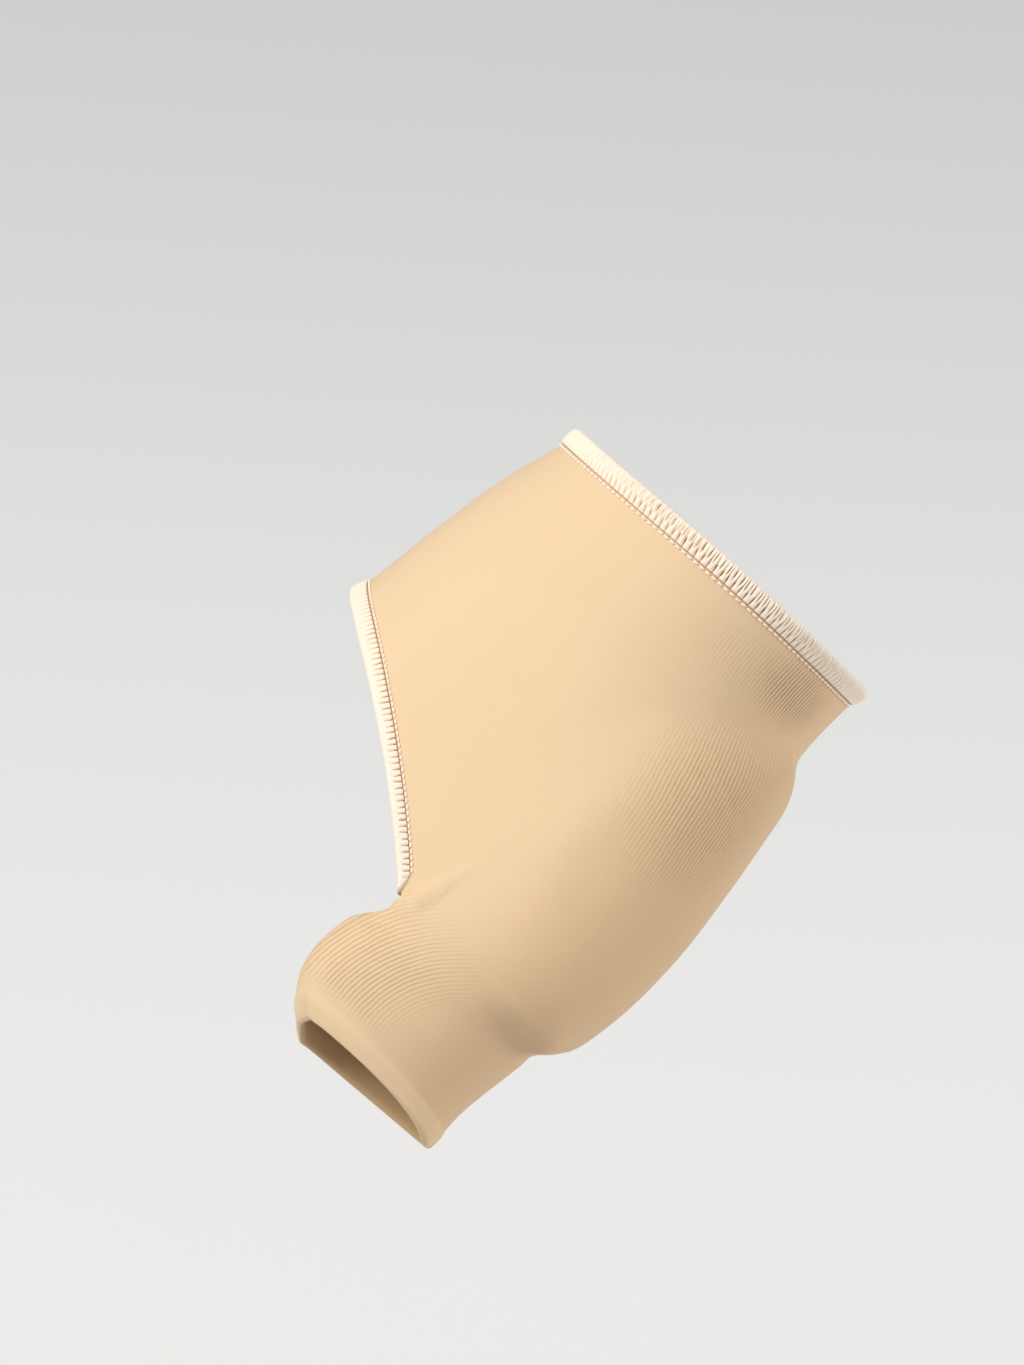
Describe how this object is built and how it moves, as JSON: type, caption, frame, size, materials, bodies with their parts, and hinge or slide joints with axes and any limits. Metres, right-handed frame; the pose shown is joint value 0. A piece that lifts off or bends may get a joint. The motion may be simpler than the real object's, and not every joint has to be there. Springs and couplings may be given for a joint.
{
  "type": "bunion corrector sleeve",
  "caption": "Stretch-fabric forefoot sleeve with a big-toe tube, overlocked edges, a gel pad over the bunion and a gel toe separator, for a right foot.",
  "frame": {"origin": "centre of the foot hollow at the ball of the foot, where the foot holds the sleeve", "axes": "+X to the inner side of the foot (big toe), -Y to the toes, +Y to the ankle, +Z to the top of the foot"},
  "size_m": [0.0843, 0.1172, 0.0634],
  "materials": {
    "stretch_fabric": "matte fine knit with a soft sheen",
    "overlock_thread": "matte cream thread",
    "gel": "soft translucent gel"
  },
  "bodies": {
    "root": {"sleeve": "stretch_fabric", "cuff_binding": "overlock_thread", "toe_binding": "overlock_thread", "bunion_pad": "gel", "toe_separator": "gel"}
  },
  "joints": []
}
